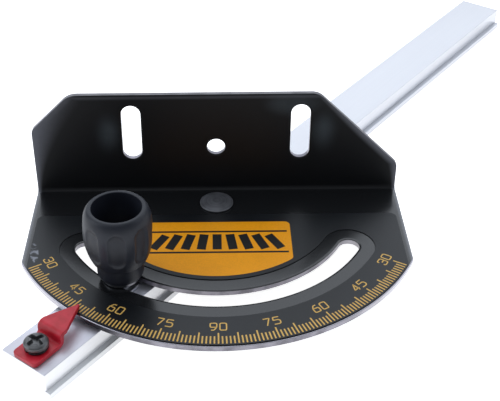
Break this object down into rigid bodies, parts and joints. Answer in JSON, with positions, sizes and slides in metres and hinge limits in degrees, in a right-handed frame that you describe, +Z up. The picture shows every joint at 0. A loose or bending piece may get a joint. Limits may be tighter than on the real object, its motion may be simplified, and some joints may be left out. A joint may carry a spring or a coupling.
{
  "type": "miter gauge",
  "caption": "Miter gauge: folded black protractor head with a printed angle scale, turning on a bright T-section guide bar, with a tall fluted clamp knob and a red pointer.",
  "frame": {"origin": "the point between the bar's two feet, in the plane that they stand on, straight below the pivot pin on the head's turning axis", "axes": "+Z up from the table; the guide bar runs along Y, with the pointer and the operator at -Y and the far end at +Y; +X is to the operator's right. At rest the head stands 38 degrees anticlockwise from square, seen from above"},
  "size_m": [0.1361, 0.3242, 0.0544],
  "materials": {
    "bright_aluminium": "bright drawn, lightly brushed along the bar",
    "black_enamel": "glossy black, with light scuffs at the edges",
    "printed_label": "matt charcoal film, printed gold and yellow",
    "dark_steel": "darkened",
    "zinc_steel": "bright plated",
    "brass": "turned",
    "slate_rubber": "satin, slightly soft",
    "red_enamel": "satin red",
    "black_oxide": "blackened"
  },
  "bodies": {
    "bar": {"miter_bar": "bright_aluminium", "pivot_pin": "dark_steel", "pivot_spacer": "zinc_steel", "clamp_stud": "zinc_steel", "pointer_screw": "black_oxide", "screw_lock_washer": "black_oxide"},
    "head": {"protractor_head": "black_enamel", "scale_label": "printed_label"},
    "washer": {"clamp_washer": "zinc_steel"},
    "knob": {"clamp_knob": "slate_rubber", "knob_insert": "brass"},
    "pointer": {"pointer": "red_enamel"}
  },
  "joints": [
    {"name": "head_swivel", "type": "hinge", "parent": "bar", "child": "head", "pos_m": [0, 0, 0.012], "axis": [0, 0, 1], "range_deg": [-98, 22]},
    {"name": "knob_lift", "type": "slide", "parent": "bar", "child": "washer", "axis": [0, 0, 1], "range_m": [0, 0.002]},
    {"name": "knob_turn", "type": "hinge", "parent": "washer", "child": "knob", "pos_m": [0, -0.053, 0.029], "axis": [0, 0, 1], "range_deg": [0, 720]},
    {"name": "pointer_trim", "type": "hinge", "parent": "bar", "child": "pointer", "pos_m": [0.0003, -0.0931, 0.0106], "axis": [0, 0, 1], "range_deg": [-4, 4]}
  ],
  "couplings": [
    {"joint": "knob_lift", "follows": "knob_turn", "m_per_rad": 0.000159}
  ]
}
